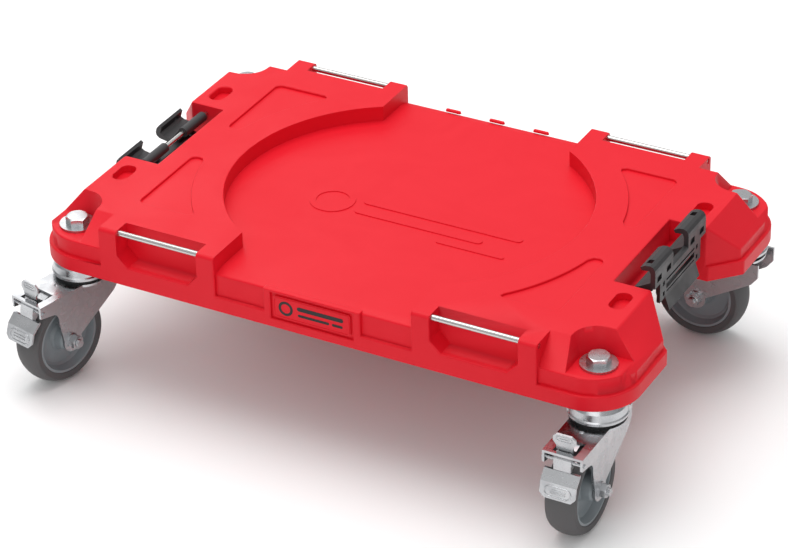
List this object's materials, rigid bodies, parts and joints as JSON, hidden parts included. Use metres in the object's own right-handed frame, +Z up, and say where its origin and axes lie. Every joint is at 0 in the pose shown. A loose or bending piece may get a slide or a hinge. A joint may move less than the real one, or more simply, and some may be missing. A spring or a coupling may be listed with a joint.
{
  "type": "toolbox transport platform",
  "caption": "Moulded plastic platform on swivel castors, with fold-out end latches, steel tie rods, a round-ended centre recess and pedal brakes on the front castors.",
  "frame": {"origin": "on the floor under the centre of the platform", "axes": "+X along the platform's length towards the end whose latch is closed, +Y towards the unbraked castors, +Z up"},
  "size_m": [0.659, 0.5182, 0.2115],
  "materials": {
    "platform_red": "satin, fine moulded grain",
    "label_black": "satin red plate with a printed mark",
    "latch_black": "satin, glass-filled nylon",
    "zinc_steel": "bright zinc plating",
    "rod_steel": "drawn and plated",
    "ball_steel": "polished",
    "tyre_grey": "matt thermoplastic rubber",
    "wheel_grey": "satin polypropylene",
    "seal_black": "matt",
    "shoe_grey": "pressed sheet"
  },
  "bodies": {
    "platform": {"deck": "platform_red", "label_plate": "label_black", "rod_fl": "rod_steel", "rod_fr": "rod_steel", "rod_rl": "rod_steel", "rod_rr": "rod_steel", "latch_pin_left": "rod_steel", "latch_pin_right": "rod_steel", "mount_bolts": "zinc_steel", "mount_washers": "zinc_steel", "mount_nuts": "zinc_steel", "king_sleeves": "zinc_steel", "ball_races": "zinc_steel", "swivel_balls": "ball_steel", "head_fl": "zinc_steel", "head_fr": "zinc_steel", "head_rl": "zinc_steel", "head_rr": "zinc_steel"},
    "swivel_fl": {"fork_fl": "zinc_steel", "dust_seal_fl": "seal_black", "axle_bolt_fl": "zinc_steel", "axle_nut_fl": "zinc_steel", "hub_sleeve_fl": "zinc_steel", "brake_pin_fl": "zinc_steel", "brake_spring_fl": "zinc_steel"},
    "wheel_fl": {"wheel_centre_fl": "wheel_grey", "tyre_fl": "tyre_grey"},
    "brake_fl": {"brake_pedal_fl": "zinc_steel", "brake_release_fl": "zinc_steel", "brake_shoe_fl": "shoe_grey"},
    "swivel_fr": {"fork_fr": "zinc_steel", "dust_seal_fr": "seal_black", "axle_bolt_fr": "zinc_steel", "axle_nut_fr": "zinc_steel", "hub_sleeve_fr": "zinc_steel", "brake_pin_fr": "zinc_steel", "brake_spring_fr": "zinc_steel"},
    "wheel_fr": {"wheel_centre_fr": "wheel_grey", "tyre_fr": "tyre_grey"},
    "brake_fr": {"brake_pedal_fr": "zinc_steel", "brake_release_fr": "zinc_steel", "brake_shoe_fr": "shoe_grey"},
    "swivel_rl": {"fork_rl": "zinc_steel", "dust_seal_rl": "seal_black", "axle_bolt_rl": "zinc_steel", "axle_nut_rl": "zinc_steel", "hub_sleeve_rl": "zinc_steel"},
    "wheel_rl": {"wheel_centre_rl": "wheel_grey", "tyre_rl": "tyre_grey"},
    "swivel_rr": {"fork_rr": "zinc_steel", "dust_seal_rr": "seal_black", "axle_bolt_rr": "zinc_steel", "axle_nut_rr": "zinc_steel", "hub_sleeve_rr": "zinc_steel"},
    "wheel_rr": {"wheel_centre_rr": "wheel_grey", "tyre_rr": "tyre_grey"},
    "latch_left": {"latch_left": "latch_black"},
    "latch_right": {"latch_right": "latch_black"}
  },
  "joints": [
    {"name": "castor_swivel_fl", "type": "hinge", "parent": "platform", "child": "swivel_fl", "pos_m": [-0.2915, -0.1681, 0.115], "axis": [0, 0, 1], "continuous": true},
    {"name": "wheel_spin_fl", "type": "hinge", "parent": "swivel_fl", "child": "wheel_fl", "pos_m": [-0.30005, -0.20513, 0.05], "axis": [0.9744, -0.225, 0], "continuous": true},
    {"name": "brake_rock_fl", "type": "hinge", "parent": "swivel_fl", "child": "brake_fl", "pos_m": [-0.30815, -0.2402, 0.0985], "axis": [0.9744, -0.225, 0], "range_deg": [0, 6]},
    {"name": "castor_swivel_fr", "type": "hinge", "parent": "platform", "child": "swivel_fr", "pos_m": [0.2915, -0.1681, 0.115], "axis": [0, 0, 1], "continuous": true},
    {"name": "wheel_spin_fr", "type": "hinge", "parent": "swivel_fr", "child": "wheel_fr", "pos_m": [0.2915, -0.2061, 0.05], "axis": [1, 0, 0], "continuous": true},
    {"name": "brake_rock_fr", "type": "hinge", "parent": "swivel_fr", "child": "brake_fr", "pos_m": [0.2915, -0.2421, 0.0985], "axis": [1, 0, 0], "range_deg": [-6, 0]},
    {"name": "castor_swivel_rl", "type": "hinge", "parent": "platform", "child": "swivel_rl", "pos_m": [-0.2915, 0.1681, 0.115], "axis": [0, 0, 1], "continuous": true},
    {"name": "wheel_spin_rl", "type": "hinge", "parent": "swivel_rl", "child": "wheel_rl", "pos_m": [-0.2915, 0.2061, 0.05], "axis": [-1, 0, 0], "continuous": true},
    {"name": "castor_swivel_rr", "type": "hinge", "parent": "platform", "child": "swivel_rr", "pos_m": [0.2915, 0.1681, 0.115], "axis": [0, 0, 1], "continuous": true},
    {"name": "wheel_spin_rr", "type": "hinge", "parent": "swivel_rr", "child": "wheel_rr", "pos_m": [0.25351, 0.16876, 0.05], "axis": [-0.0175, -0.9998, 0], "continuous": true},
    {"name": "latch_hinge_left", "type": "hinge", "parent": "platform", "child": "latch_left", "pos_m": [-0.2805, 0, 0.179], "axis": [0, -1, 0], "range_deg": [-80, 0]},
    {"name": "latch_hinge_right", "type": "hinge", "parent": "platform", "child": "latch_right", "pos_m": [0.2805, 0, 0.179], "axis": [0, 1, 0], "range_deg": [0, 80]}
  ]
}
